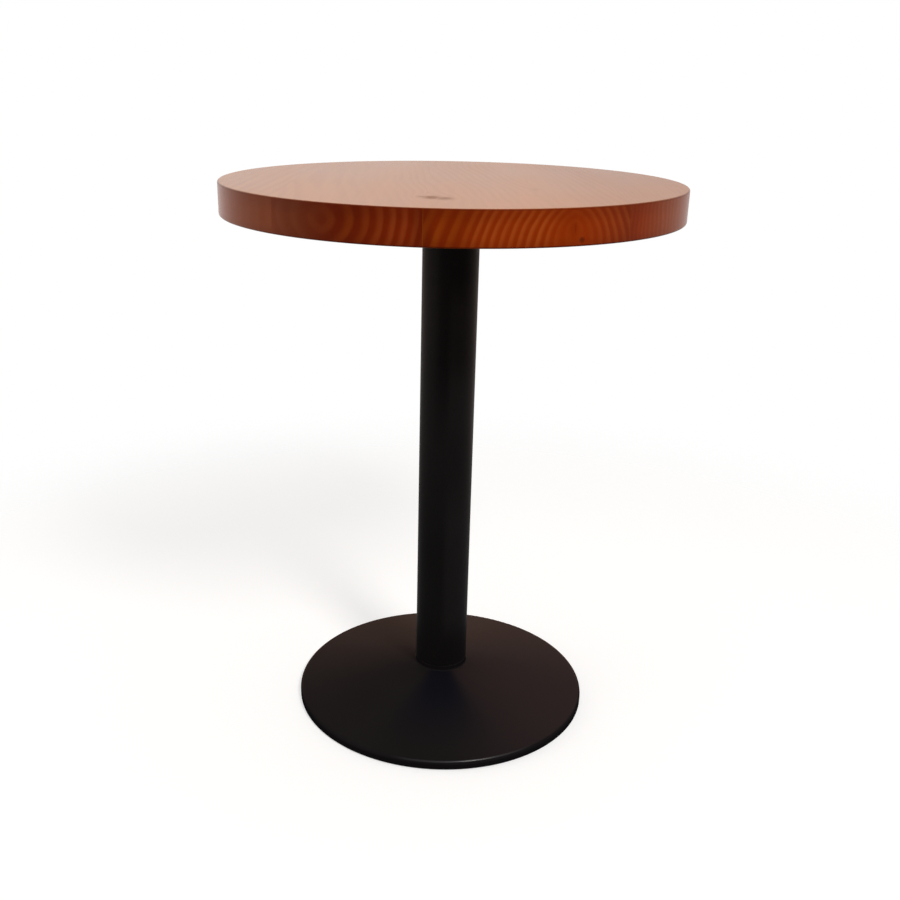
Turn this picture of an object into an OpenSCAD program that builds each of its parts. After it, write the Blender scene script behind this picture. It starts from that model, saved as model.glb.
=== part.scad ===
// Round pedestal table: an edge-glued wooden top on a steel column with a cast disc base.
// Millimetres, +Z up. The origin is on the floor, on the axis of the column.

/* [Table] */
// Height of the top surface above the floor
table_h = 760; // [700:5:1100]
// Diameter of the wooden top
top_d = 600; // [520:5:900]
// Thickness of the wooden top
top_t = 41; // [34:1:60]
// Size of the eased edges of the top
top_edge_r = 2; // [1:0.5:8]
// Place of the glue line between the first and second stave
seam_left = -200; // [-230:5:-140]
// Place of the glue line between the second and third stave
seam_mid = -30; // [-70:5:60]
// Place of the glue line between the third and fourth stave
seam_right = 196; // [140:2:230]

/* [Column] */
// Outside diameter of the steel column
column_d = 76; // [64:1:102]
// Wall of the column
column_wall = 2; // [1.5:0.5:4]
// Chamfer on the outer edges where the column meets the hub and the bracket
column_chamfer = 0.8; // [0.4:0.2:1.2]

/* [Base casting] */
// Diameter of the base
base_d = 430; // [400:5:560]
// Gap between the rim of the base and the floor
rim_gap = 2; // [2:0.5:6]
// Height of the upright face of the rim
rim_h = 7; // [6:0.5:14]
// Radius of the rounded upper edge of the rim
rim_edge_r = 6; // [3:0.5:9]
// Thickness of the rim wall
rim_t = 9; // [7:0.5:12]
// Slope of the upper surface, in degrees
cone_slope = 11.5; // [10:0.5:18]
// Thickness of the casting under the sloping surface
shell_t = 6.5; // [5:0.5:8]
// Height of the round hub that the column stands on
hub_h = 8; // [5:1:20]
// Radius of the hollow curve where the sloping surface meets the hub
foot_fillet_r = 3; // [1:0.5:3.5]
// Height of the spigot that enters the foot of the column
base_spigot_h = 12; // [8:1:25]
// Number of ribs under the base
rib_count = 8; // [4:4:12]
// Thickness of the ribs
rib_t = 6; // [4:0.5:8]
// Diameter of the nut recess in the underside
recess_d = 38; // [34:1:44]
// Wall around the nut recess
recess_wall = 11; // [8:1:16]

/* [Top bracket] */
// Span of the bracket from arm tip to arm tip
arm_span = 360; // [300:10:420]
// Width of an arm
arm_w = 40; // [34:1:50]
// Thickness of the bracket plate
arm_t = 6; // [5:0.5:8]
// Thickness of the turned-down flanges of an arm
flange_t = 4; // [3:0.5:5]
// Depth of the flanges where they meet the hub
flange_h_hub = 24; // [16:1:32]
// Depth of the flanges at the tip of an arm
flange_h_tip = 8; // [5:1:12]
// Diameter of the round plate at the middle of the bracket
hub_plate_d = 116; // [112:1:140]
// Thickness of the floor under the upper nut
pocket_floor_t = 6; // [5:0.5:9]

/* [Wood screws] */
// Diameter of the screws that hold the top
screw_d = 5; // [4:0.5:6]
// Depth that a screw goes into the wood
screw_bite = 26; // [18:1:30]
// Diameter of a screw head
screw_head_d = 10; // [9:0.5:12]
// Height of a screw head
screw_head_h = 3; // [2:0.5:4]
// Distance from the tip of an arm to its outer screw
screw_inset = 15; // [12:1:25]
// Distance between the two screws of an arm
screw_pitch = 75; // [40:1:80]

/* [Tie rod] */
// Thread diameter of the tie rod
rod_d = 12; // [10:1:14]
// Length of rod that stands out of each nut
rod_proud = 3; // [2:0.5:5]
// Thickness of the plain washers
washer_t = 2.5; // [2:0.5:3]
// Thickness of the spring washers
spring_t = 3; // [2:0.5:3.5]

/* [Levelling glides] */
// Distance from the edge of the base to the axis of a glide
glide_inset = 45; // [36:1:60]
// Thread diameter of a glide stud
stud_d = 8; // [6:1:10]
// Diameter of the boss that a glide screws into
boss_d = 26; // [22:1:28]
// Diameter of a glide pad
pad_d = 30; // [26:1:32]
// Height of a glide pad
pad_h = 5; // [4.8:0.1:6]
// Size across the flats of the hexagon on a stud
hex_af = 13; // [12:1:17]
// Height of that hexagon
hex_h = 2.8; // [2.4:0.2:3.4]

/* [Clearances] */
// Between the spigots and the bore of the column
spigot_gap = 0.2; // [0.1:0.05:0.4]
// Between a bolt or rod and the plain hole that it passes through
hole_gap = 0.5; // [0.3:0.1:1]
// Between a thread and the hole that it turns in
thread_gap = 0.05; // [0.02:0.01:0.08]
// Between the parts of a glide that turn on each other
swivel_gap = 0.1; // [0.05:0.05:0.3]

/* [Hidden] */
$fn = 96;

small_steps = 48;        // facets round small parts and curves
eased_steps = 12;        // gives three narrow flats round each edge of the top
cut = 1;                 // how far a cutting shape runs past what it cuts
root_overlap = 3;        // how far ribs, bosses and flanges run into what carries them
top_r = top_d / 2;
column_r = column_d / 2;
spigot_r = column_r - column_wall - spigot_gap;
base_r = base_d / 2;

// Nuts and washers follow the thread diameter, as the standard sizes do
nut_af_extra = 1;
nut_h_extra = 0.4;
nut_af = 1.5 * rod_d + nut_af_extra;
nut_h = 0.8 * rod_d + nut_h_extra;
washer_d = 2 * rod_d;
spring_d = 1.7 * rod_d;
fastener_stack = washer_t + spring_t + nut_h + rod_proud;

// Levels of the base
rim_top = rim_gap + rim_h;
cone_start_r = base_r - rim_edge_r + rim_edge_r * sin(cone_slope);
cone_start_z = rim_top + rim_edge_r * cos(cone_slope);
function cone_z(r) = cone_start_z + (cone_start_r - r) * tan(cone_slope);
function shell_z(r) = cone_z(r) - shell_t / cos(cone_slope);
foot_z = cone_z(column_r);
column_z = foot_z + hub_h;
recess_floor_gap = 3;    // the rod ends this far above the lower edge of the rim
rib_lift = 2;            // the ribs end this far above the lower edge of the rim
lower_seat_z = rim_gap + recess_floor_gap + fastener_stack;
boss_wall_r = recess_d / 2 + recess_wall;
rib_z = rim_gap + rib_lift;

// Levels of the top
wood_z = table_h - top_t;
bracket_z = wood_z - arm_t;
nut_headroom = 1;        // space between the end of the rod and the wood
socket_room = 3;         // space for a socket around the upper nut and its washer
upper_seat_z = wood_z - nut_headroom - fastener_stack;
bracket_spigot_z = upper_seat_z - pocket_floor_t;
pocket_d = washer_d + 2 * socket_room;
arm_r = arm_span / 2;
screw_r = [arm_r - screw_inset, arm_r - screw_inset - screw_pitch];
seams = [-top_r - cut, seam_left, seam_mid, seam_right, top_r + cut];

// Glides: the pad stands on the floor, and the hexagon stops just under the boss
glide_r = base_r - glide_inset;
glide_angles = [45, 135, 225, 315];
hex_z = pad_h + swivel_gap;
boss_z = hex_z + hex_h + swivel_gap;
tap_skin = 3;            // metal left over the blind end of the tapped hole
tap_top_z = cone_z(glide_r + stud_d / 2) - tap_skin;
stud_tip_gap = 0.5;
stud_head_d = 11;
stud_head_h = 1.4;
stud_neck_d = 7;
pad_floor_t = 1.8;
pad_edge = 1;

// Points, heads and cross recesses of the wood screws
screw_point_h = 6;
screw_head_edge = 0.8;
cross_w = 1.2;
cross_l = 5.4;
cross_t = 1.6;

// The slanting slit of a spring washer, its lean in degrees
slit_w = 1.2;
slit_lean = 25;

// Chamfers of the small parts
nut_edge = 1.2;
washer_edge = 0.3;
hex_edge = 0.6;
thread_end = 1.2;
corner_play = 0.2;       // keeps the corners of a nut just under its chamfered outline

wood = [0.60, 0.24, 0.10];
black = [0.07, 0.07, 0.07];
steel = [0.62, 0.63, 0.65];
nylon = [0.12, 0.12, 0.13];

// A disc with all its rims chamfered, from z0 to z1
module chamfered_disc(d, z0, z1, c) {
    rotate_extrude()
        polygon([
            [0, z0], [d / 2 - c, z0], [d / 2, z0 + c],
            [d / 2, z1 - c], [d / 2 - c, z1], [0, z1]
        ]);
}

// A round bar whose upper end alone is chamfered
module bar(d, z0, z1, c) {
    rotate_extrude()
        polygon([[0, z0], [d / 2, z0], [d / 2, z1 - c], [d / 2 - c, z1], [0, z1]]);
}

module bore(d, z0, z1) {
    translate([0, 0, z0]) cylinder(h = z1 - z0, d = d);
}

module at_screws() {
    for (a = [0:90:270], r = screw_r)
        rotate(a) translate([r, 0, 0]) children();
}

module at_glide(i) {
    rotate(glide_angles[i - 1]) translate([glide_r, 0, 0]) children();
}

// The whole top before it is parted into boards
module top_disc() {
    e = top_edge_r;
    rotate_extrude()
        union() {
            translate([0, wood_z]) square([top_r - e, top_t]);
            translate([0, wood_z + e]) square([top_r, top_t - 2 * e]);
            for (z = [wood_z + e, table_h - e])
                translate([top_r - e, z]) circle(e, $fn = eased_steps);
        }
}

// One board of the top, between two glue lines, with its screw holes
module top_stave(i) {
    x0 = seams[i - 1];
    x1 = seams[i];
    color(wood)
        difference() {
            intersection() {
                top_disc();
                translate([x0, -top_r - cut, wood_z - cut])
                    cube([x1 - x0, top_d + 2 * cut, top_t + 2 * cut]);
            }
            at_screws()
                bore(screw_d + 2 * thread_gap, wood_z - cut, wood_z + screw_bite + cut);
        }
}

// The side view of a flange: deep at the hub and shallow at the tip
module arm_flange() {
    r0 = column_r + hole_gap + column_chamfer;
    rotate([90, 0, 0])
        translate([0, 0, -flange_t / 2])
            linear_extrude(flange_t)
                polygon([
                    [r0, bracket_z + arm_t / 2], [arm_r, bracket_z + arm_t / 2],
                    [arm_r, bracket_z - flange_h_tip],
                    [hub_plate_d / 2, bracket_z - flange_h_hub],
                    [r0, bracket_z - flange_h_hub]
                ]);
}

module bracket_arm() {
    translate([0, -arm_w / 2, bracket_z]) cube([arm_r, arm_w, arm_t]);
    for (side = [-1, 1])
        translate([0, side * (arm_w - flange_t) / 2, 0]) arm_flange();
}

module top_bracket() {
    color(black)
        difference() {
            union() {
                bore(hub_plate_d, bracket_z, wood_z);
                bore(2 * spigot_r, bracket_spigot_z, bracket_z + arm_t / 2);
                for (a = [0:90:270]) rotate(a) bracket_arm();
            }
            bore(pocket_d, upper_seat_z, wood_z + cut);
            bore(rod_d + 2 * hole_gap, bracket_spigot_z - cut, upper_seat_z + cut);
            at_screws()
                bore(screw_d + 2 * hole_gap, bracket_z - cut, wood_z + cut);
        }
}

// A pan-head screw, head down, with a cross recess
module wood_screw() {
    head_z = bracket_z - screw_head_h;
    tip_z = wood_z + screw_bite;
    difference() {
        rotate_extrude($fn = small_steps)
            polygon([
                [0, head_z], [screw_head_d / 2 - screw_head_edge, head_z],
                [screw_head_d / 2, head_z + screw_head_edge], [screw_head_d / 2, bracket_z],
                [screw_d / 2, bracket_z], [screw_d / 2, tip_z - screw_point_h], [0, tip_z]
            ]);
        for (a = [0, 90])
            rotate(a)
                translate([-cross_l / 2, -cross_w / 2, head_z - cut])
                    cube([cross_l, cross_w, cross_t + cut]);
    }
}

module wood_screws() {
    color(steel) at_screws() wood_screw();
}

module column() {
    c = column_chamfer;
    r = column_r;
    bore_r = column_r - column_wall;
    color(black)
        rotate_extrude()
            polygon([
                [bore_r, column_z], [r - c, column_z], [r, column_z + c],
                [r, bracket_z - c], [r - c, bracket_z], [bore_r, bracket_z]
            ]);
}

// The hollow curve at the foot of the hub, tangent to the hub and to the sloping surface
module foot_fillet() {
    f = foot_fillet_r;
    centre_r = column_r + f;
    centre_z = foot_z - f * tan(cone_slope) + f / cos(cone_slope);
    touch_r = centre_r - f * sin(cone_slope);
    difference() {
        polygon([
            [column_r - f, centre_z], [column_r - f, foot_z - f], [column_r, foot_z - f],
            [touch_r, centre_z - f * cos(cone_slope)], [centre_r, centre_z]
        ]);
        translate([centre_r, centre_z]) circle(f, $fn = small_steps);
    }
}

// Outer form of the casting: rim, rounded edge, sloping top, hub and spigot
module base_body() {
    c = column_chamfer;
    rotate_extrude()
        union() {
            foot_fillet();
            polygon([
                [0, rim_gap], [base_r, rim_gap], [base_r, rim_top],
                [base_r - rim_edge_r, rim_top], [cone_start_r, cone_start_z],
                [column_r, foot_z], [0, foot_z]
            ]);
            intersection() {
                translate([base_r - rim_edge_r, rim_top]) circle(rim_edge_r);
                translate([base_r - rim_edge_r, rim_top - rim_h / 2]) square(2 * rim_edge_r);
            }
            polygon([
                [0, rim_gap], [column_r, rim_gap], [column_r, column_z - c],
                [column_r - c, column_z], [0, column_z]
            ]);
            translate([0, rim_gap]) square([spigot_r, column_z + base_spigot_h - rim_gap]);
        }
}

// The hollow under the casting, from the wall of the recess to the rim
module base_hollow() {
    rotate_extrude()
        polygon([
            [boss_wall_r, rim_gap - cut], [base_r - rim_t, rim_gap - cut],
            [base_r - rim_t, shell_z(base_r - rim_t)], [boss_wall_r, shell_z(boss_wall_r)]
        ]);
}

// Ribs reach a little way into the rim, the shell and the recess wall
module rib_space() {
    r0 = boss_wall_r - root_overlap;
    r1 = base_r - rim_t + root_overlap;
    rotate_extrude()
        polygon([
            [r0, rib_z], [r1, rib_z],
            [r1, shell_z(r1) + root_overlap], [r0, shell_z(r0) + root_overlap]
        ]);
}

module ribs() {
    intersection() {
        rib_space();
        for (i = [0:rib_count - 1])
            rotate(i * 360 / rib_count)
                translate([0, -rib_t / 2, rim_gap]) cube([base_r, rib_t, foot_z]);
    }
}

module base_casting() {
    color(black)
        difference() {
            union() {
                difference() {
                    base_body();
                    base_hollow();
                }
                ribs();
                for (i = [1:len(glide_angles)])
                    at_glide(i)
                        bore(boss_d, boss_z, shell_z(glide_r + boss_d / 2) + root_overlap);
            }
            bore(recess_d, rim_gap - cut, lower_seat_z);
            bore(rod_d + 2 * hole_gap, lower_seat_z - cut, column_z + base_spigot_h + cut);
            for (i = [1:len(glide_angles)])
                at_glide(i) {
                    bore(stud_d + 2 * thread_gap, boss_z - cut, tap_top_z);
                    bore(pad_d + 2 * hole_gap, rim_gap - cut, boss_z);
                }
        }
}

module tie_rod() {
    z0 = lower_seat_z - fastener_stack;
    z1 = upper_seat_z + fastener_stack;
    color(steel) chamfered_disc(rod_d, z0, z1, thread_end);
}

// A hexagon nut with its corners turned off, from z0 up
module hex_nut(z0) {
    corner_d = nut_af / cos(30);
    color(steel)
        difference() {
            intersection() {
                translate([0, 0, z0]) cylinder(h = nut_h, d = corner_d, $fn = 6);
                chamfered_disc(corner_d + corner_play, z0, z0 + nut_h, nut_edge);
            }
            bore(rod_d + 2 * thread_gap, z0 - cut, z0 + nut_h + cut);
        }
}

module plain_washer(z0) {
    color(steel)
        difference() {
            chamfered_disc(washer_d, z0, z0 + washer_t, washer_edge);
            bore(rod_d + 2 * hole_gap, z0 - cut, z0 + washer_t + cut);
        }
}

// A ring cut through on a slant, pressed flat under its nut
module spring_washer(z0) {
    color(steel)
        difference() {
            bore(spring_d, z0, z0 + spring_t);
            bore(rod_d + 2 * hole_gap, z0 - cut, z0 + spring_t + cut);
            translate([0, 0, z0 + spring_t / 2])
                rotate([slit_lean, 0, 0])
                    translate([0, -slit_w / 2, -2 * spring_t])
                        cube([spring_d, slit_w, 4 * spring_t]);
        }
}

// A moulded pad that holds the head of its stud, so that the stud turns in it
module glide_pad(i) {
    head_room_z = pad_floor_t + stud_head_h + 2 * swivel_gap;
    color(nylon)
        at_glide(i)
            difference() {
                chamfered_disc(pad_d, 0, pad_h, pad_edge);
                bore(stud_head_d + 2 * swivel_gap, pad_floor_t, head_room_z);
                bore(stud_neck_d + 2 * swivel_gap, pad_floor_t + swivel_gap, pad_h + cut);
            }
}

// Head, neck, hexagon and thread in one piece
module glide_stud(i) {
    head_z = pad_floor_t + swivel_gap;
    corner_d = hex_af / cos(30);
    color(steel)
        at_glide(i)
            union() {
                bore(stud_head_d, head_z, head_z + stud_head_h);
                bore(stud_neck_d, head_z + stud_head_h / 2, hex_z + hex_h / 2);
                intersection() {
                    translate([0, 0, hex_z]) cylinder(h = hex_h, d = corner_d, $fn = 6);
                    chamfered_disc(corner_d + corner_play, hex_z, hex_z + hex_h, hex_edge);
                }
                bar(stud_d, hex_z + hex_h / 2, tap_top_z - stud_tip_gap, thread_end);
            }
}

top_stave(1);  // top_stave_1
top_stave(2);  // top_stave_2
top_stave(3);  // top_stave_3
top_stave(4);  // top_stave_4
top_bracket();
wood_screws();
column();
base_casting();
tie_rod();
hex_nut(upper_seat_z + washer_t + spring_t);  // upper_nut
spring_washer(upper_seat_z + washer_t);  // upper_spring_washer
plain_washer(upper_seat_z);  // upper_washer
hex_nut(lower_seat_z - washer_t - spring_t - nut_h);  // lower_nut
spring_washer(lower_seat_z - washer_t - spring_t);  // lower_spring_washer
plain_washer(lower_seat_z - washer_t);  // lower_washer
glide_pad(1);  // glide_pad_1
glide_pad(2);  // glide_pad_2
glide_pad(3);  // glide_pad_3
glide_pad(4);  // glide_pad_4
glide_stud(1);  // glide_stud_1
glide_stud(2);  // glide_stud_2
glide_stud(3);  // glide_stud_3
glide_stud(4);  // glide_stud_4
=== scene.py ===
import bpy
import math
from mathutils import Matrix, Vector


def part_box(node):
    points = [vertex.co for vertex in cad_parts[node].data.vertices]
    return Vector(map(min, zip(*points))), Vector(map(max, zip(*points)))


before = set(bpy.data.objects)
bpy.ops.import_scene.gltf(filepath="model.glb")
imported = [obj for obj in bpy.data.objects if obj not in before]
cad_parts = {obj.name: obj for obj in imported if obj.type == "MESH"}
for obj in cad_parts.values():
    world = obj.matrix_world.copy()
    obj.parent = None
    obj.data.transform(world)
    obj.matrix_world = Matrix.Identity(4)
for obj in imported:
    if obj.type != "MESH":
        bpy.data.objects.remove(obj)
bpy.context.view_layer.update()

# Lengths are in metres. A name with STEP in it holds what Nodes.step takes: where a soft step starts
# and where it ends, then the value before it and the value after it, which are 0 and 1 if left out.
# A name with STEPS in it holds several of them, and SCALES is how fine a noise is along x, y and z.

# Camera, as fitted to the photograph's outlines: metres, degrees, pixels and millimetres
FRAME_PX = 900
FOCAL_PX = 1061.2
AXIS_PX = (423.8, 486.6)
SENSOR_MM = 36
CAMERA_BACK = 1.4232
CAMERA_HIGH = 0.8954
CAMERA_TURN = -1.232
CAMERA_DIP = 21.572
CAMERA_ROLL = -0.980

# Levels and places read from the frame
TOP_LOW, TOP_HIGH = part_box("top_stave_3")[0].z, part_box("top_stave_3")[1].z
TOP_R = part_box("top_stave_3")[1].y
SEAMS = [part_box(f"top_stave_{i}")[1].x for i in (1, 2, 3)]
BASE_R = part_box("base_casting")[1].x

BLACK = (0.0, 0.0, 0.0)
WHITE = (1.0, 1.0, 1.0)


def add_camera():
    """The camera stands in front of the table, turned, tilted down and rolled a little."""
    turn, dip, roll = (math.radians(a) for a in (CAMERA_TURN, CAMERA_DIP, CAMERA_ROLL))
    ahead = Vector((math.sin(turn) * math.cos(dip), math.cos(turn) * math.cos(dip), -math.sin(dip)))
    level = Vector((math.cos(turn), -math.sin(turn), 0))
    below = ahead.cross(level)
    right = math.cos(roll) * level + math.sin(roll) * below
    down = math.cos(roll) * below - math.sin(roll) * level
    data = bpy.data.cameras.new("camera")
    data.sensor_width = SENSOR_MM
    data.lens = SENSOR_MM * FOCAL_PX / FRAME_PX
    data.shift_x = (FRAME_PX / 2 - AXIS_PX[0]) / FRAME_PX
    data.shift_y = (AXIS_PX[1] - FRAME_PX / 2) / FRAME_PX
    camera = bpy.data.objects.new("camera", data)
    columns = Matrix((right, -down, -ahead)).transposed()
    camera.matrix_world = Matrix.Translation((0, -CAMERA_BACK, CAMERA_HIGH)) @ columns.to_4x4()
    bpy.context.scene.collection.objects.link(camera)
    bpy.context.scene.camera = camera


def scaled(parts, by):
    return tuple(part * by for part in parts)


class Nodes:
    """A node tree and short names for the shader nodes that the materials are built from.

    An input may be a number, a tuple or the output of another node.
    """

    def __init__(self, tree):
        self.tree = tree
        tree.nodes.clear()
        self.source = self.node("ShaderNodeTexCoord").outputs
        self.place = self.source["Object"]

    def put(self, socket, value):
        """Links or sets an input. Colours are given as red, green and blue."""
        if isinstance(value, bpy.types.NodeSocket):
            self.tree.links.new(value, socket)
        elif value is not None:
            socket.default_value = (*value, 1.0) if socket.type == "RGBA" else value

    def node(self, kind, values=(), **settings):
        node = self.tree.nodes.new(kind)
        for name, value in settings.items():
            setattr(node, name, value)
        for key, value in dict(values).items():
            self.put(node.inputs[key], value)
        return node

    def math(self, operation, a, b=None):
        return self.node("ShaderNodeMath", {0: a, 1: b}, operation=operation).outputs[0]

    def total(self, value, *others):
        for other in others:
            value = self.math("ADD", value, other)
        return value

    def product(self, value, *others):
        for other in others:
            value = self.math("MULTIPLY", value, other)
        return value

    def minus(self, a, b):
        return self.math("SUBTRACT", a, b)

    def absolute(self, a):
        return self.math("ABSOLUTE", a)

    def larger(self, a, b):
        return self.math("MAXIMUM", a, b)

    def hypot(self, a, b):
        return self.math("SQRT", self.total(self.product(a, a), self.product(b, b)))

    def swing(self, noise, amount):
        """Turns a noise of 0 to 1 into a value between minus and plus half of amount."""
        return self.product(self.minus(noise, 0.5), amount)

    def vector(self, operation, a, b):
        return self.node("ShaderNodeVectorMath", {0: a, 1: b}, operation=operation).outputs[0]

    def join(self, x, y, z):
        return self.node("ShaderNodeCombineXYZ", {0: x, 1: y, 2: z}).outputs[0]

    def split(self, value):
        return self.node("ShaderNodeSeparateXYZ", {0: value}).outputs[:3]

    def noise(self, where, scale, detail=2.0, rough=0.5):
        values = {"Vector": where, "Scale": scale, "Detail": detail, "Roughness": rough}
        return self.node("ShaderNodeTexNoise", values).outputs["Fac"]

    def stretched_noise(self, scales, detail=2.0, rough=0.5):
        return self.noise(self.vector("MULTIPLY", self.place, scales), 1.0, detail, rough)

    def step(self, value, start, end, before=0.0, after=1.0):
        """A soft step. It runs toward smaller values where start is larger than end."""
        values = {0: value, 1: start, 2: end, 3: before, 4: after}
        return self.node("ShaderNodeMapRange", values, interpolation_type="SMOOTHSTEP").outputs[0]

    def window(self, value, rise, fall):
        """One step up times one step down."""
        return self.product(self.step(value, *rise), self.step(value, *fall))

    def mix(self, share, a, b, blend="MIX"):
        """Colour a with b laid over it by share."""
        node = self.node("ShaderNodeMix", data_type="RGBA", blend_type=blend)
        sockets = {socket.identifier: socket for socket in (*node.inputs, *node.outputs)}
        for key, value in (("Factor_Float", share), ("A_Color", a), ("B_Color", b)):
            self.put(sockets[key], value)
        return sockets["Result_Color"]

    def stain(self, share, shade, tint):
        """A colour multiplied by a tint, by share."""
        return self.mix(share, shade, tint, "MULTIPLY")

    def brighten(self, shade, gain):
        return self.stain(1.0, shade, self.join(gain, gain, gain))

    def patchy(self, noise, shade, spread):
        """A colour that a noise darkens and lightens by up to a share of it."""
        return self.mix(noise, scaled(shade, 1 - spread), scaled(shade, 1 + spread))

    def bump(self, height, strength, distance, under=None):
        values = {"Height": height, "Strength": strength, "Distance": distance, "Normal": under}
        return self.node("ShaderNodeBump", values).outputs[0]

    def surface(self, **values):
        """The material's shader. A space in an input's name is written as an underscore."""
        inputs = {name.replace("_", " "): value for name, value in values.items()}
        shader = self.node("ShaderNodeBsdfPrincipled", inputs)
        self.node("ShaderNodeOutputMaterial", {"Surface": shader.outputs[0]})


def new_material(name):
    material = bpy.data.materials.new(name)
    material.use_nodes = True
    return material, Nodes(material.node_tree)


# Each board. pith: where the rings have their centre on the front rim, x and z. drift: how far the
# pith wanders sideways and upward over each metre of board. flat, steep, lean: how much the rings are
# pressed flat, how straight their flanks are and how far they lean over. width: ring width near the
# pith, and tighten: how fast it narrows outward. turn and outer: beyond the radius turn, rings are
# outer wide. start: shifts the count. core: rings are faint inside the first radius and at full
# strength from the second. pale: the steps, by radius, between which the end grain is paler. tone,
# green: depth and yellowness of the stain on the end grain. contrast: how clearly rings show there.
# dim: the end grain darkens to DIM_LEVEL between these two x.
BOARDS = [
    dict(pith=(-0.560, 0.742), drift=(0.05, 0.03), flat=1.0, steep=0.0, lean=0.0, width=0.0150,
         tighten=0.0, turn=1.0, outer=0.0150, start=0.20, core=(0.020, 0.044),
         pale=((0.0, 0.1), (1.1, 1.0)), tone=0.68, green=1.07, contrast=0.30, dim=(1.0, 1.1)),
    dict(pith=(-0.1363, 0.7432), drift=(-0.10, -0.03), flat=1.365, steep=0.494, lean=-0.17,
         width=0.0389, tighten=4.57, turn=1.0, outer=0.0389, start=0.246, core=(0.004, 0.014),
         pale=((0.03, 0.13), (1.1, 1.0)), tone=0.63, green=0.94, contrast=0.64, dim=(1.0, 1.1)),
    dict(pith=(0.1326, 0.7398), drift=(-0.07, 0.03), flat=1.05, steep=0.49, lean=0.62, width=0.0146,
         tighten=0.0, turn=0.172, outer=0.0224, start=0.919, core=(0.020, 0.044),
         pale=((-0.02, 0.02), (0.20, 0.13)), tone=0.92, green=1.10, contrast=0.62, dim=(0.13, 0.19)),
    dict(pith=(0.560, 0.735), drift=(-0.02, 0.05), flat=1.0, steep=0.0, lean=0.0, width=0.0052,
         tighten=0.0, turn=1.0, outer=0.0052, start=0.40, core=(0.020, 0.044),
         pale=((0.0, 0.1), (1.1, 1.0)), tone=0.71, green=1.0, contrast=0.30, dim=(1.0, 1.1)),
]
DIM_LEVEL = 0.74

# How the rings wander. Each sway: how far, its scales, and what it adds to the board's seed. The pith
# is straight at the front rim and sways fully at the end of SWAY_STEP behind it.
PITH_SWAYS = ((0.060, (1.5, 2.4, 1.5), 0.0), (0.050, (1.5, 2.9, 1.5), 4.1))
RING_SWAY = (0.0070, (26.0, 2.2, 26.0), 1.7)
SWAY_STEP = (0.0, 0.30)
SWAY_DETAIL = 1.5
SEED_GAP = 5.3
SEED_WAY = (1.0, 0.7, 1.3)
SPACING_SCALE = 60.0
SPACING_SWING = 0.016

# Late wood: its rise and fall within one ring, how faint it is at the core, and how its strength
# differs from year to year and from place to place
LATE_STEPS = ((0.20, 0.66), (1.0, 0.76))
CORE_LEVEL = 0.25
YEAR_SCALE = 3.7
YEAR_STEP = (0.2, 0.7, 0.72, 1.0)
UNEVEN_SCALES = (11.0, 2.0, 11.0)
UNEVEN_STEP = (0.25, 0.65, 0.55, 1.0)

# Knots in the top face: centre, half sizes and how dark they are. The steps are in half sizes, and a
# knot pushes the rings aside by a share of its half width.
KNOTS = [
    dict(at=(-0.0230, -0.201), size=(0.014, 0.023), depth=1.0),
    dict(at=(-0.0085, -0.209), size=(0.014, 0.020), depth=0.90),
    dict(at=(-0.0345, -0.195), size=(0.008, 0.012), depth=0.70),
    dict(at=(0.100, -0.095), size=(0.006, 0.018), depth=0.30),
]
KNOT_STEP = (1.2, 0.35)
KNOT_CORE_STEP = (0.72, 0.20)
KNOT_BEND_STEP = (3.4, 0.4)
KNOT_PUSH = 0.8
RAGGED_SCALES = (260.0, 200.0, 60.0)
RAGGED_KNOT_STEP = (0.2, 0.7, 0.7, 1.0)
RAGGED_CORE_STEP = (0.3, 0.6, 0.45, 0.75)

# The dark pith and the short crack over it on the front rim: x and z, and how each is stretched
PITH_MARKS = [
    dict(at=(0.140, 0.726), stretch=(1.0, 1.0), step=(0.0045, 0.001), depth=0.75),
    dict(at=(0.132, 0.739), stretch=(5.0, 0.6), step=(0.0050, 0.002), depth=0.35),
]

# Which way a surface faces, as parts of its normal: along y on the end grain, up on the top face, and
# neither on the sides of the rim. The rounded edges lie between the two eased steps.
END_STEP = (0.12, 0.85)
TOP_FACE_STEP = (0.5, 0.9)
SIDEWAYS_STEP = (0.5, 0.1)
EASED_STEPS = ((0.10, 0.30), (0.99, 0.94))
EASED_SHARE = 0.55

# Colours of the wood with its stain, and stains that multiply what is under them
END_EARLY = (0.240, 0.0215, 0.0005)
END_LATE = (0.400, 0.0700, 0.0060)
FACE_EARLY = (0.410, 0.144, 0.0250)
FACE_LATE = (0.377, 0.123, 0.0190)
EDGE_WOOD = (0.080, 0.0060, 0.0005)
KNOT_WOOD = (0.300, 0.102, 0.012)
KNOT_CORE = (0.195, 0.056, 0.006)
PITH_WOOD = (0.100, 0.0110, 0.0005)
PALE_STAIN = (1.32, 1.42, 3.0)
BROWN_STAIN = (1.11, 2.05, 7.0)
DEEP_STAIN = (0.82, 0.78, 0.80)
SIDE_STAIN = (0.88, 0.57, 0.40)

# End grain: the rings fade toward the left, both ends of the rim are brown, and painted shade darkens
# its upper and lower edges. Each glue line shows as a thin line of its own strength, on the rim and
# fainter on the top, and the wood beside the second and the third has soaked up stain.
RINGS_FADE_STEP = (-0.115, -0.150, 1.0, 0.25)
BROWN_STEPS = ((-0.115, -0.180), (0.200, 0.26))
# Painted shade: how far the rim's upper and lower edges are darkened
UPPER_EDGE_SHADE_STEP = (TOP_HIGH - 0.020, TOP_HIGH - 0.003, 0.0, 0.27)
LOWER_EDGE_SHADE_STEP = (TOP_LOW + 0.012, TOP_LOW + 0.001, 0.0, 0.24)
SEAM_SOAKED_STEP = (0.016, 0.004)
SEAM_SOAKED = (0.0, 0.35, 0.18)
SEAM_LINE_STEP = (0.0004, 0.0001)
SEAM_LINE = (0.08, 0.40, 0.12)
SEAM_FAINT_ON_TOP = 0.6

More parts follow.
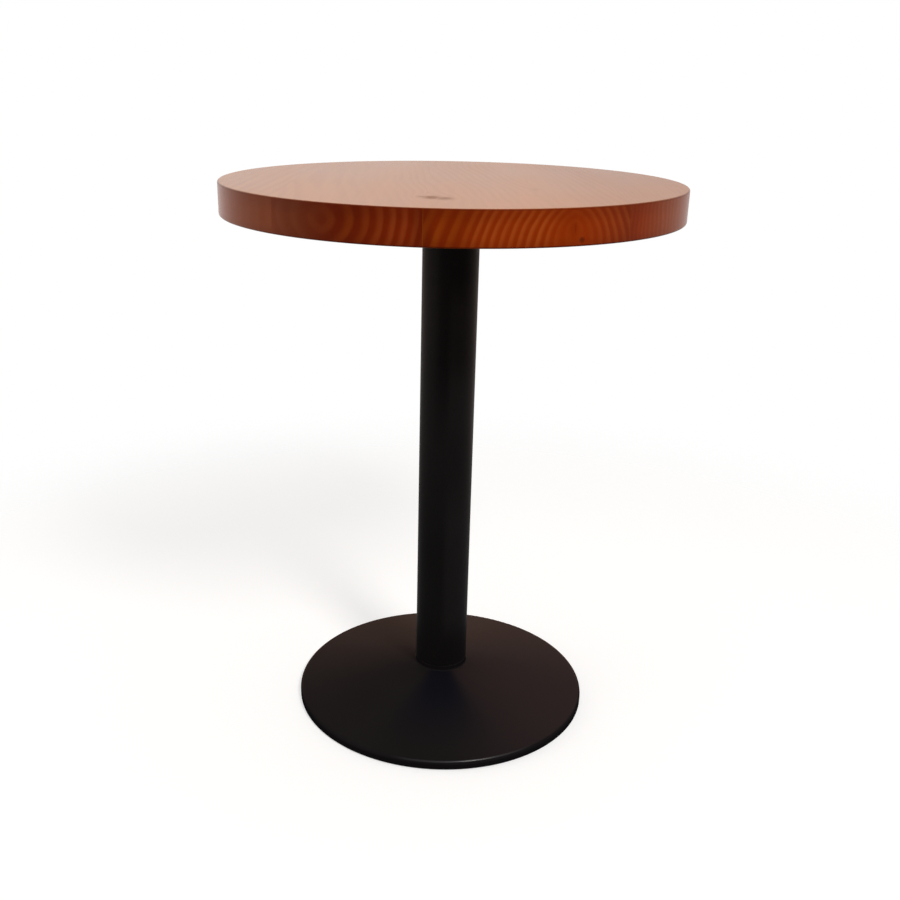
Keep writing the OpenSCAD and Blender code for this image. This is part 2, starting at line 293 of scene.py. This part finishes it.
# Faces: the stain is deeper toward the right, and the rings fade in and out
DEEP_STEP = (0.04, 0.25)
FACE_RINGS_SCALES = (14.0, 2.2, 14.0)
FACE_RINGS_STEP = (0.35, 0.62, 0.3, 1.0)

# Fibres run along the board, broader streaks, bands and clouds vary the stain, and resin canals show
# in the late wood of the faces
GRAIN_NOISES = dict(
    fibre=dict(scales=(1500.0, 16.0, 1500.0), detail=3.0, rough=0.6),
    streak=dict(scales=(190.0, 3.5, 190.0), detail=3.0, rough=0.6),
    band=dict(scales=(42.0, 2.6, 42.0)),
    cloud=dict(scales=(8.0, 3.0, 8.0)),
)
GRAIN_GAINS = dict(fibre=0.07, streak=0.12, band=0.16, cloud=0.20)
CANAL_SCALES = (900.0, 70.0, 900.0)
CANAL_STEP = (0.70, 0.76)
CANAL_SHARE = 0.5
FIBRE_BUMP = 0.02
RING_BUMP = 0.015
WOOD_RELIEF = 0.0002

# Lacquer: its specular level falls from left to right with x, is higher on the left of the top face,
# swings in soft patches, and is lower where the wood has soaked it up: in the middle of the rim and
# in knots
GLOSS_MIDDLE = 0.058
GLOSS_SLOPE = -0.080
GLOSS_LEFT = 0.023
GLOSS_LEFT_STEP = (0.02, -0.20)
GLOSS_SWING = 0.30
SOAKED_STEP = (0.20, 0.10)
SOAKED_END = 0.45
SOAKED_KNOT = 0.95
WOOD_ROUGH = 0.24
ROUGH_CLOUD = 0.08
ROUGH_FIBRE = 0.05


def sway(n, seed, amount, scales, shift):
    """Slow noise between minus and plus half of amount."""
    moved = n.vector("ADD", n.vector("MULTIPLY", n.place, scales), scaled(SEED_WAY, seed + shift))
    return n.swing(n.noise(moved, 1.0, SWAY_DETAIL), amount)


def ring_radius(n, x, y, z, board, seed):
    """Distance from the board's pith, which wanders along the board as a real one does."""
    back = n.total(y, TOP_R)
    grow = n.step(back, *SWAY_STEP)
    offsets = []
    for at, pith, drift, pith_sway in zip((x, z), board["pith"], board["drift"], PITH_SWAYS):
        wander = n.total(n.product(back, drift), n.product(sway(n, seed, *pith_sway), grow))
        offsets.append(n.minus(n.minus(at, pith), wander))
    dx, dz = offsets
    radius = n.total(n.hypot(dx, n.product(dz, board["flat"])),
                     n.product(n.absolute(dx), board["steep"]),
                     n.product(dz, board["lean"]),
                     sway(n, seed, *RING_SWAY))
    spacing = n.noise(n.join(n.product(radius, SPACING_SCALE), seed, 0.0), 1.0, 1.0)
    return n.total(radius, n.swing(spacing, n.product(grow, SPACING_SWING)))


def knot_fields(n, x, y):
    """How strongly a point is in a knot and in its core, and how far knots push the grain aside."""
    inside = core = bend = 0.0
    for knot in KNOTS:
        across, along = (n.math("DIVIDE", n.minus(at, middle), half)
                         for at, middle, half in zip((x, y), knot["at"], knot["size"]))
        far = n.hypot(across, along)
        inside = n.larger(inside, n.product(n.step(far, *KNOT_STEP), knot["depth"]))
        core = n.larger(core, n.product(n.step(far, *KNOT_CORE_STEP), knot["depth"]))
        bend = n.total(bend, n.product(n.step(far, *KNOT_BEND_STEP), knot["size"][0] * KNOT_PUSH))
    return inside, core, bend


def late_wood(n, radius, board):
    """0 in the soft early wood of each ring and up to 1 in its dense late wood."""
    tightened = n.total(n.product(radius, board["tighten"]), 1.0)
    beyond = n.larger(n.minus(radius, board["turn"]), 0.0)
    count = n.total(n.product(radius, tightened, 1 / board["width"]),
                    n.product(beyond, 1 / board["outer"] - 1 / board["width"]))
    ring = n.math("FRACT", n.total(count, board["start"]))
    year = n.noise(n.join(n.math("FLOOR", count), board["start"], 0.0), YEAR_SCALE, 0.0)
    uneven = n.stretched_noise(UNEVEN_SCALES, 1.0)
    return n.product(n.window(ring, *LATE_STEPS),
                     n.step(radius, *board["core"], CORE_LEVEL, 1.0),
                     n.step(year, *YEAR_STEP),
                     n.step(uneven, *UNEVEN_STEP))


class Wood:
    """What more than one layer of a board's material needs to know about a point."""

    def __init__(self, n, board, seed):
        self.x, y, self.z = n.split(n.place)
        normal = n.split(n.source["Normal"])
        self.tilt = n.absolute(normal[2])
        self.end = n.step(n.absolute(normal[1]), *END_STEP)
        self.top_face = n.step(normal[2], *TOP_FACE_STEP)
        knot, core, bend = knot_fields(n, self.x, y)
        radius = ring_radius(n, self.x, y, self.z, board, seed)
        self.radius = n.total(radius, n.product(bend, self.top_face))
        self.late = late_wood(n, self.radius, board)
        ragged = n.stretched_noise(RAGGED_SCALES)
        self.knot = n.product(knot, self.top_face, n.step(ragged, *RAGGED_KNOT_STEP))
        self.core = n.product(core, self.top_face, n.step(ragged, *RAGGED_CORE_STEP))
        self.grain = {name: n.stretched_noise(**noise) for name, noise in GRAIN_NOISES.items()}


def board_stain(shade, board):
    """A colour of the end grain with the depth and yellowness of the board's own stain."""
    red, green, blue = scaled(shade, board["tone"])
    return red, green * board["green"], blue


def end_shade(n, wood, board):
    """Stain on the end grain, brown toward the ends of the rim, and painted shade along its edges."""
    late = n.product(wood.late, board["contrast"], n.step(wood.x, *RINGS_FADE_STEP))
    shade = n.mix(late, board_stain(END_EARLY, board), board_stain(END_LATE, board))
    shade = n.stain(n.window(wood.radius, *board["pale"]), shade, PALE_STAIN)
    for brown_step in BROWN_STEPS:
        shade = n.stain(n.step(wood.x, *brown_step), shade, BROWN_STAIN)
    shade = n.brighten(shade, n.step(wood.x, *board["dim"], 1.0, DIM_LEVEL))
    for seam, soaked in zip(SEAMS, SEAM_SOAKED):
        near = n.step(n.absolute(n.minus(wood.x, seam)), *SEAM_SOAKED_STEP, 0.0, soaked)
        shade = n.mix(near, shade, EDGE_WOOD)
    # Painted shade along the rim's upper and lower edges
    edges = n.total(n.step(wood.z, *UPPER_EDGE_SHADE_STEP), n.step(wood.z, *LOWER_EDGE_SHADE_STEP))
    return n.mix(edges, shade, EDGE_WOOD)


def face_shade(n, wood):
    """Stain on the top face, the underside and the sides: deeper toward the right."""
    fading = n.step(n.stretched_noise(FACE_RINGS_SCALES), *FACE_RINGS_STEP)
    shade = n.mix(n.product(wood.late, fading), FACE_EARLY, FACE_LATE)
    shade = n.stain(n.step(wood.x, *DEEP_STEP), shade, DEEP_STAIN)
    return n.stain(n.step(wood.tilt, *SIDEWAYS_STEP), shade, SIDE_STAIN)


def with_fibres(n, wood, shade):
    """Fibres, streaks, bands and clouds on every surface, and resin canals on the faces."""
    swings = (n.swing(wood.grain[name], gain) for name, gain in GRAIN_GAINS.items())
    shade = n.brighten(shade, n.total(*swings, 1.0))
    canal = n.product(n.step(n.stretched_noise(CANAL_SCALES, 1.0), *CANAL_STEP),
                      n.product(wood.late, CANAL_SHARE), n.minus(1.0, wood.end))
    return n.mix(canal, shade, KNOT_WOOD)


def pith_marks(n, wood):
    """How strongly a point of the rim is in the dark pith or in the short crack over it."""
    marks = 0.0
    for mark in PITH_MARKS:
        across, up = (n.product(n.minus(at, middle), stretch)
                      for at, middle, stretch in zip((wood.x, wood.z), mark["at"], mark["stretch"]))
        inside = n.step(n.hypot(across, up), *mark["step"])
        marks = n.larger(marks, n.product(inside, mark["depth"]))
    return marks


def with_marks(n, wood, shade):
    """Knots, pith and glue lines."""
    shade = n.mix(wood.knot, shade, KNOT_WOOD)
    shade = n.mix(wood.core, shade, KNOT_CORE)
    shade = n.mix(n.product(pith_marks(n, wood), wood.end), shade, PITH_WOOD)
    strength = n.minus(1.0, n.product(wood.top_face, SEAM_FAINT_ON_TOP))
    for seam, dark in zip(SEAMS, SEAM_LINE):
        line = n.step(n.absolute(n.minus(wood.x, seam)), *SEAM_LINE_STEP)
        shade = n.mix(n.product(line, n.product(strength, dark)), shade, KNOT_WOOD)
    return shade


def lacquer(n, wood):
    """The lacquer's specular level and roughness."""
    cloud, fibre = wood.grain["cloud"], wood.grain["fibre"]
    thick = n.product(wood.top_face, n.step(wood.x, *GLOSS_LEFT_STEP), GLOSS_LEFT)
    gloss = n.total(n.product(wood.x, GLOSS_SLOPE), GLOSS_MIDDLE, thick)
    soaked = n.product(wood.end, n.step(n.absolute(wood.x), *SOAKED_STEP))
    gloss = n.product(gloss, n.minus(1.0, n.product(soaked, SOAKED_END)),
                      n.total(n.swing(cloud, GLOSS_SWING), 1.0),
                      n.minus(1.0, n.product(wood.knot, SOAKED_KNOT)))
    rough = n.total(n.swing(cloud, ROUGH_CLOUD), WOOD_ROUGH, n.swing(fibre, ROUGH_FIBRE))
    return gloss, rough


def wood_material(index, board):
    """Solid wood with its rings round a pith along Y, so that the rim and the faces agree."""
    material, n = new_material(f"wood_board_{index}")
    wood = Wood(n, board, index * SEED_GAP)
    shade = n.mix(wood.end, face_shade(n, wood), end_shade(n, wood, board))
    eased = n.product(n.window(wood.tilt, *EASED_STEPS), EASED_SHARE)
    shade = n.mix(eased, shade, EDGE_WOOD)
    shade = with_fibres(n, wood, shade)
    shade = with_marks(n, wood, shade)
    gloss, rough = lacquer(n, wood)
    grain = n.bump(wood.grain["fibre"], FIBRE_BUMP, WOOD_RELIEF)
    relief = n.bump(wood.late, RING_BUMP, WOOD_RELIEF, grain)
    n.surface(Base_Color=shade, Roughness=rough, Normal=relief, Specular_IOR_Level=gloss)
    return material


# Both black coats: orange peel over finer peel, soft patches that change colour and roughness, and
# pale specks
FINE_PEEL = 700.0
FINE_PEEL_SHARE = 0.5
PATCH_SCALE = 6.0
PATCH_DETAIL = 3.0
PATCH_ROUGH = 0.55
PATCH_SPREAD = 0.25
PATCH_SWING = 0.12
SPECK_SCALE = 2200.0
SPECK_ROUGH = 0.7
SPECK_STEP = (0.70, 0.80)
SPECK_SHARE = 0.12
SPECK_TINT = (0.06, 0.058, 0.055)
COAT_BUMP = 0.15
COAT_RELIEF = 0.0004

# Steel: a painted sheen grows up the column and is stronger on its right. Painted light brightens the
# left side higher up, and the right side in a low and a high band. Steps across the column go by the x
# part of the normal and the others by height.
STEEL_TINT = (0.0080, 0.0074, 0.0076)
STEEL_GLOSS = 0.010
STEEL_ROUGH = 0.44
STEEL_PEEL = 260.0
PAINTED_SHEEN_TINT = (1.0, 0.88, 0.82)
PAINTED_SHEEN_ROUGH = 0.40
PAINTED_SHEEN_STEP = (0.25, 0.70, 0.0, 0.34)
PAINTED_SHEEN_ACROSS_STEP = (0.30, 0.85, 1.0, 1.7)
LIT_LEFT_ACROSS_STEP = (-0.25, -0.55)
LIT_LEFT_STEP = (0.36, 0.60, 0.0, 0.75)
LIT_RIGHT_ACROSS_STEP = (-0.12, 0.22)
LIT_LOW_STEPS = ((0.09, 0.14), (0.40, 0.26, 0.0, 0.55))
LIT_HIGH_STEPS = ((0.39, 0.54), (0.65, 0.59, 0.0, 1.20))

# Casting: surfaces are told apart by the z part of their normal. A way is a direction from the
# table's axis, and its step goes by how straight a point lies that way.
CAST_TINT = (0.0122, 0.0112, 0.0120)
CAST_GLOSS = 0.0045
CAST_ROUGH = 0.32
CAST_PEEL = 120.0
UPWARD_STEP = (0.60, 0.90)
# Painted shade on upright faces
UPRIGHT_SHADE_STEP = (0.5, 0.0, 0.0, 0.25)
UNDER_STEP = (-0.3, -0.8)
UNDER_TINT = (0.050, 0.045, 0.042)
UNDER_SCALE = 30.0
UNDER_DETAIL = 3.0
UNDER_SPREAD = 0.3
# A dust sheen that also stands in for the brown reflection of the wooden top
DUST_AND_REFLECTION_TINT = (1.0, 0.30, 0.05)
DUST_AND_REFLECTION_WEIGHT = 0.35
DUST_AND_REFLECTION_ROUGH = 0.3
# Painted light on the right side of the base
RIGHT_LIGHT_TINT = (0.0260, 0.0185, 0.0192)
RIGHT_LIGHT_WAY = (0.985, -0.174)
RIGHT_LIGHT_STEP = (0.20, 0.95)
# Painted reflection of the dark column on the base in front of it
COLUMN_REFLECTION_TINT = (0.0052, 0.0060, 0.0108)
COLUMN_REFLECTION_WAY = (0.0, -1.0)
COLUMN_REFLECTION_STEP = (0.85, 0.99)
COLUMN_REFLECTION_RADIUS_STEP = (0.21, 0.06)
COLUMN_REFLECTION_SHARE = 0.85
COLUMN_REFLECTION_SHEEN_CUT = 0.19
# Worn front edge: real wear, with its gloss placed to make a painted highlight
WORN_HIGHLIGHT_WAY = (0.174, -0.985)
WORN_HIGHLIGHT_STEP = (0.87, 0.985)
WORN_HIGHLIGHT_TILT_STEPS = ((0.52, 0.62), (0.90, 0.80))
WORN_HIGHLIGHT_WIDTH = 0.010
WORN_HIGHLIGHT_GLOSS = 0.20
WORN_HIGHLIGHT_ROUGH = 0.26


def from_axis(n):
    """Distance from the table's axis."""
    x, y, _ = n.split(n.place)
    return n.hypot(x, y)


def toward(n, way):
    """1 where a point of the base lies straight toward a direction from its centre."""
    x, y, _ = n.split(n.place)
    ahead = n.total(n.product(x, way[0]), n.product(y, way[1]))
    return n.math("DIVIDE", ahead, n.hypot(x, y))


def powder_coat(n, peel_scale, tint):
    """Colour, unevenness and relief of a fine black powder coat with specks in it."""
    patch = n.noise(n.place, PATCH_SCALE, PATCH_DETAIL, PATCH_ROUGH)
    specks = n.step(n.noise(n.place, SPECK_SCALE, rough=SPECK_ROUGH), *SPECK_STEP)
    shade = n.mix(n.product(specks, SPECK_SHARE), n.patchy(patch, tint, PATCH_SPREAD), SPECK_TINT)
    height = n.total(n.product(n.noise(n.place, FINE_PEEL), FINE_PEEL_SHARE), n.noise(n.place, peel_scale))
    return shade, n.swing(patch, PATCH_SWING), n.bump(height, COAT_BUMP, COAT_RELIEF)


def steel_coat():
    """Powder coat on the tube and the bracket, with a painted sheen and painted light on two sides."""
    material, n = new_material("powder_coat_steel")
    shade, uneven, relief = powder_coat(n, STEEL_PEEL, STEEL_TINT)
    height = n.split(n.place)[2]
    across = n.split(n.source["Normal"])[0]
    # Painted light on the left and right sides of the tube
    left = n.product(n.step(across, *LIT_LEFT_ACROSS_STEP), n.step(height, *LIT_LEFT_STEP))
    lit_bands = n.total(n.window(height, *LIT_LOW_STEPS), n.window(height, *LIT_HIGH_STEPS))
    right = n.product(n.step(across, *LIT_RIGHT_ACROSS_STEP), lit_bands)
    shade = n.brighten(shade, n.total(left, right, 1.0))
    # Painted sheen, growing with height and stronger on the right
    painted_sheen = n.product(n.step(height, *PAINTED_SHEEN_STEP), n.step(across, *PAINTED_SHEEN_ACROSS_STEP))
    n.surface(Base_Color=shade, Roughness=n.total(uneven, STEEL_ROUGH), Normal=relief,
              Specular_IOR_Level=STEEL_GLOSS, Sheen_Weight=painted_sheen, Sheen_Roughness=PAINTED_SHEEN_ROUGH,
              Sheen_Tint=PAINTED_SHEEN_TINT)
    return material


def cast_shade(n, coat, tilt, upward, column_reflection):
    """Painted shade on upright faces, a thin coat underneath, painted light on the right and a painted
    reflection of the column in front.
    """
    # Painted shade on upright faces
    shade = n.mix(n.step(tilt, *UPRIGHT_SHADE_STEP), coat, BLACK)
    thin = n.patchy(n.noise(n.place, UNDER_SCALE, UNDER_DETAIL), UNDER_TINT, UNDER_SPREAD)
    shade = n.mix(n.step(tilt, *UNDER_STEP), shade, thin)
    # Painted light on the right
    right_light = n.product(n.step(toward(n, RIGHT_LIGHT_WAY), *RIGHT_LIGHT_STEP), upward)
    shade = n.mix(right_light, shade, RIGHT_LIGHT_TINT)
    # Painted reflection of the column
    return n.mix(n.product(column_reflection, COLUMN_REFLECTION_SHARE), shade, COLUMN_REFLECTION_TINT)


def worn_highlight_edge(n, tilt):
    """Where shoes have burnished the front of the rounded edge, placed so that it makes a painted
    highlight of the key lamp.
    """
    facing = n.step(toward(n, WORN_HIGHLIGHT_WAY), *WORN_HIGHLIGHT_STEP)
    outside = n.math("GREATER_THAN", from_axis(n), BASE_R - WORN_HIGHLIGHT_WIDTH)
    return n.product(facing, n.window(tilt, *WORN_HIGHLIGHT_TILT_STEPS), outside)


def cast_coat():
    """Powder coat on the casting: a dust sheen on what faces up that also paints the brown reflection of
    the wooden top, less of it in the column's painted reflection, and a worn front edge that makes a
    painted highlight.
    """
    material, n = new_material("powder_coat_casting")
    coat, uneven, relief = powder_coat(n, CAST_PEEL, CAST_TINT)
    tilt = n.split(n.source["Normal"])[2]
    upward = n.step(tilt, *UPWARD_STEP)
    # Where the column's painted reflection lies
    column_reflection = n.product(n.step(toward(n, COLUMN_REFLECTION_WAY), *COLUMN_REFLECTION_STEP),
                      n.step(from_axis(n), *COLUMN_REFLECTION_RADIUS_STEP), upward)
    # Dust sheen that also paints the brown reflection of the wooden top
    dust_and_reflection = n.product(upward, n.minus(DUST_AND_REFLECTION_WEIGHT, n.product(column_reflection, COLUMN_REFLECTION_SHEEN_CUT)))
    # Gloss of the worn edge, placed to make a painted highlight
    worn_highlight = worn_highlight_edge(n, tilt)
    gloss = n.total(n.product(worn_highlight, WORN_HIGHLIGHT_GLOSS), n.product(upward, CAST_GLOSS))
    rough = n.total(n.product(worn_highlight, WORN_HIGHLIGHT_ROUGH - CAST_ROUGH), n.total(uneven, CAST_ROUGH))
    n.surface(Base_Color=cast_shade(n, coat, tilt, upward, column_reflection), Roughness=rough, Normal=relief,
              Specular_IOR_Level=gloss, Sheen_Weight=dust_and_reflection, Sheen_Roughness=DUST_AND_REFLECTION_ROUGH, Sheen_Tint=DUST_AND_REFLECTION_TINT)
    return material


# Zinc plating: fine turning marks along z and soft patches from bright to dull
ZINC_DARK = (0.44, 0.46, 0.50)
ZINC_PALE = (0.62, 0.63, 0.64)
ZINC_SCALES = (300.0, 300.0, 2600.0)
ZINC_PATCHES = 90.0
ZINC_ROUGH = 0.22
ZINC_DULL = 0.25
ZINC_BUMP = 0.2

# Nylon: a fine moulded grain, and scuffs within SCUFF_STEP of the floor
NYLON_DARK = (0.018, 0.018, 0.019)
NYLON_PALE = (0.032, 0.032, 0.033)
NYLON_GRAIN = 1800.0
NYLON_PATCHES = 120.0
NYLON_ROUGH = 0.5
NYLON_DULL = 0.15
NYLON_BUMP = 0.25
SCUFF_STEP = (0.0012, 0.0)
SCUFF_PATCH_STEP = (0.45, 0.7)
SCUFF_SHARE = 0.5
SCUFF_TINT = (0.12, 0.115, 0.11)

SMALL_PATCH_DETAIL = 3.0
SMALL_RELIEF = 0.0002


def zinc_plate():
    """Bright zinc plating, faintly blue, with fine turning marks and duller patches."""
    material, n = new_material("zinc_plate")
    patch = n.noise(n.place, ZINC_PATCHES, SMALL_PATCH_DETAIL)
    rough = n.total(n.product(patch, ZINC_DULL), ZINC_ROUGH)
    marks = n.bump(n.stretched_noise(ZINC_SCALES), ZINC_BUMP, SMALL_RELIEF)
    n.surface(Base_Color=n.mix(patch, ZINC_DARK, ZINC_PALE), Roughness=rough, Metallic=1.0, Normal=marks)
    return material


def nylon():
    """Moulded black nylon with a fine spark-eroded grain, scuffed where it stands on the floor."""
    material, n = new_material("nylon")
    patch = n.noise(n.place, NYLON_PATCHES, SMALL_PATCH_DETAIL)
    scuff = n.product(n.step(n.split(n.place)[2], *SCUFF_STEP), n.step(patch, *SCUFF_PATCH_STEP))
    shade = n.mix(n.product(scuff, SCUFF_SHARE), n.mix(patch, NYLON_DARK, NYLON_PALE), SCUFF_TINT)
    rough = n.total(n.product(patch, NYLON_DULL), NYLON_ROUGH)
    grain = n.bump(n.noise(n.place, NYLON_GRAIN), NYLON_BUMP, SMALL_RELIEF)
    n.surface(Base_Color=shade, Roughness=rough, Normal=grain)
    return material


def dress(node, material):
    """Puts a material on every slot of a CAD node."""
    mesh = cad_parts[node].data
    if not mesh.materials:
        mesh.materials.append(material)
    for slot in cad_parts[node].material_slots:
        slot.link = "OBJECT"
        slot.material = material


def dress_all():
    for i, board in enumerate(BOARDS, 1):
        dress(f"top_stave_{i}", wood_material(i, board))
    steel = steel_coat()
    zinc = zinc_plate()
    plastic = nylon()
    dress("column", steel)
    dress("top_bracket", steel)
    dress("base_casting", cast_coat())
    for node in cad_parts:
        if node.startswith("glide_pad"):
            dress(node, plastic)
        elif node.startswith(("glide_stud", "upper_", "lower_", "tie_rod", "wood_screws")):
            dress(node, zinc)


# Floor: a disc that is clear from below and in a hole under the base, and that fades out toward its
# rim. The lift brings it near white for the camera and for reflections, and lights nothing.
FLOOR_R = 1.5
FLOOR_SIDES = 128
FLOOR_TINT = (0.52, 0.52, 0.52)
FLOOR_LIFT = 0.60
FLOOR_FADE_STEP = (FLOOR_R * 0.45, FLOOR_R * 0.98)
FLOOR_HOLE_STEP = (0.200, 0.198)

# World: how strongly it lights, by the direction that the light comes from
WORLD_TINT = (1.0, 0.93, 0.88)
WORLD_LEAST = 0.06
WORLD_BEHIND = 0.50
WORLD_BEHIND_STEP = (-0.55, 0.6)
WORLD_LEFT = 0.12
WORLD_LEFT_STEP = (0.6, -0.8)

# Lamps: round areas, with diameters and watts
LAMPS = [
    dict(name="key", place=(1.1, -1.85, 2.45), aim=(0, 0, 0.5), size=0.7, watts=52,
         tint=(1.0, 0.97, 0.93), mirrored=True),
    dict(name="overhead", place=(0.0, 0.3, 2.8), aim=(0, 0, 0.4), size=2.2, watts=12,
         tint=(1.0, 0.98, 0.96), mirrored=True),
    dict(name="side", place=(-2.3, -0.5, 0.8), aim=(0, 0, 0.6), size=1.8, watts=14,
         tint=(1.0, 0.97, 0.94), mirrored=False),
]


def seen(n):
    """1 for what the camera sees straight, in a reflection or through glass, and 0 for light."""
    rays = n.node("ShaderNodeLightPath").outputs
    seen_by_eye = n.larger(rays["Is Camera Ray"], rays["Is Glossy Ray"])
    return n.larger(seen_by_eye, rays["Is Transmission Ray"])


def add_floor():
    """A pale round floor that keeps the table's shadow and fades into the white background."""
    bpy.ops.mesh.primitive_circle_add(vertices=FLOOR_SIDES, radius=FLOOR_R, fill_type="NGON",
                                      location=(0, 0, 0))
    floor = bpy.context.object
    floor.name = "floor"
    material, n = new_material("floor")
    diffuse = n.node("ShaderNodeBsdfDiffuse", {"Color": FLOOR_TINT}).outputs[0]
    lift = n.product(seen(n), FLOOR_LIFT)
    glow = n.node("ShaderNodeEmission", {"Color": WHITE, "Strength": lift}).outputs[0]
    both = n.node("ShaderNodeAddShader", {0: diffuse, 1: glow}).outputs[0]
    far = n.node("ShaderNodeVectorMath", {0: n.place}, operation="LENGTH").outputs["Value"]
    below = n.node("ShaderNodeNewGeometry").outputs["Backfacing"]
    fade = n.larger(n.larger(n.step(far, *FLOOR_FADE_STEP), below), n.step(far, *FLOOR_HOLE_STEP))
    clear = n.node("ShaderNodeBsdfTransparent").outputs[0]
    mixed = n.node("ShaderNodeMixShader", {0: fade, 1: both, 2: clear}).outputs[0]
    n.node("ShaderNodeOutputMaterial", {"Surface": mixed})
    floor.data.materials.append(material)


def add_world():
    """White to the camera. As light it is a plain studio: paler behind, darker round the camera."""
    world = bpy.data.worlds.new("studio")
    bpy.context.scene.world = world
    world.use_nodes = True
    n = Nodes(world.node_tree)
    x, y, _ = n.split(n.source["Generated"])
    level = n.total(n.product(n.step(y, *WORLD_BEHIND_STEP), WORLD_BEHIND), WORLD_LEAST,
                    n.product(n.step(x, *WORLD_LEFT_STEP), WORLD_LEFT))
    shade = n.mix(seen(n), n.mix(level, BLACK, WORLD_TINT), WHITE)
    back = n.node("ShaderNodeBackground", {"Color": shade, "Strength": 1.0}).outputs[0]
    n.node("ShaderNodeOutputWorld", {"Surface": back})


def add_lamp(name, place, aim, size, watts, tint, mirrored):
    """A round area lamp that points at aim; reflections show it where mirrored is true."""
    data = bpy.data.lights.new(name, "AREA")
    data.shape = "DISK"
    data.size = size
    data.energy = watts
    data.color = tint
    lamp = bpy.data.objects.new(name, data)
    lamp.location = place
    lamp.visible_glossy = mirrored
    lamp.rotation_euler = (Vector(aim) - Vector(place)).to_track_quat("-Z", "Y").to_euler()
    bpy.context.scene.collection.objects.link(lamp)


bpy.context.scene.view_settings.view_transform = "Standard"
add_camera()
add_world()
add_floor()
for lamp in LAMPS:
    add_lamp(**lamp)
dress_all()
